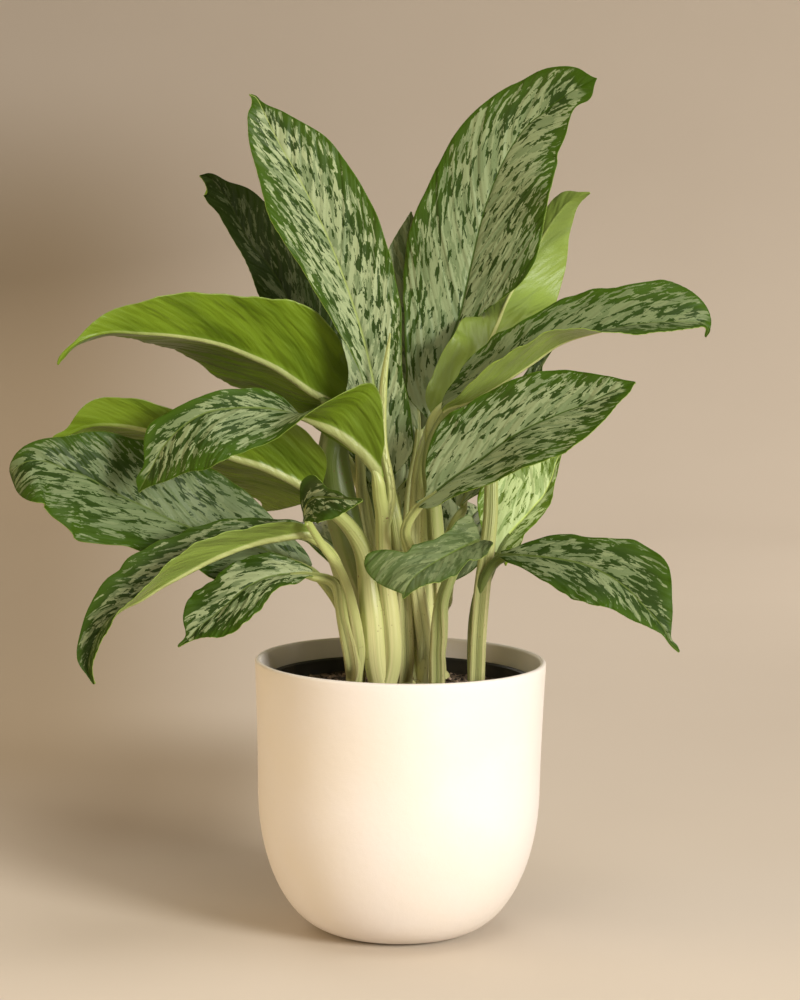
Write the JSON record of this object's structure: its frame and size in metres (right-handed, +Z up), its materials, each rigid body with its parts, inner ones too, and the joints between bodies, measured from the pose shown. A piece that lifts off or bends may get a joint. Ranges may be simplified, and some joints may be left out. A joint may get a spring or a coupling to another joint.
{
  "type": "potted chinese evergreen",
  "caption": "Potted Chinese evergreen with broad grey-green mottled leaves on pale stalks, in a smooth cream round-bellied cachepot.",
  "frame": {"origin": "centre of the flat foot of the cachepot", "axes": "+Z up; the side that faces the viewer is towards -Y; +X to the viewer's right"},
  "size_m": [0.4598, 0.3435, 0.5943],
  "materials": {
    "cream_glaze": "smooth matte cream",
    "black_plastic": "matte black",
    "dark_soil": "crumbly, dark brown",
    "pale_stalk": "smooth, pale green, semi-gloss",
    "mottled_leaf": "semi-gloss, mottled grey-green and dark green"
  },
  "bodies": {
    "root": {"cachepot": "cream_glaze", "nursery_pot": "black_plastic", "soil": "dark_soil", "stems_left": "pale_stalk", "stems_centre_left": "pale_stalk", "stems_centre": "pale_stalk", "stems_centre_right": "pale_stalk", "stem_front": "pale_stalk", "stems_right": "pale_stalk", "stems_back_left": "pale_stalk", "stems_back_right": "pale_stalk", "leaf_tall_left": "mottled_leaf", "leaf_tall_right": "mottled_leaf", "leaf_upright_right": "mottled_leaf", "leaf_arching_right": "mottled_leaf", "leaf_broad_front_right": "mottled_leaf", "leaf_low_right": "mottled_leaf", "leaf_inner_right": "mottled_leaf", "leaf_hidden_right": "mottled_leaf", "leaf_small_front": "mottled_leaf", "leaf_wide_upper_left": "mottled_leaf", "leaf_twisted_left": "mottled_leaf", "leaf_wide_middle_left": "mottled_leaf", "leaf_long_lower_left": "mottled_leaf", "leaf_arching_lower_left": "mottled_leaf", "leaf_small_lower_left": "mottled_leaf", "leaf_young_left": "mottled_leaf", "leaf_dark_back_left": "mottled_leaf", "leaf_slim_back": "mottled_leaf", "leaf_back_left_high": "mottled_leaf", "leaf_back_high": "mottled_leaf", "leaf_back_right_high": "mottled_leaf", "leaf_back_left_low": "mottled_leaf", "leaf_back_right_low": "mottled_leaf", "leaf_back_middle": "mottled_leaf", "leaf_back_upright": "mottled_leaf"}
  },
  "joints": []
}
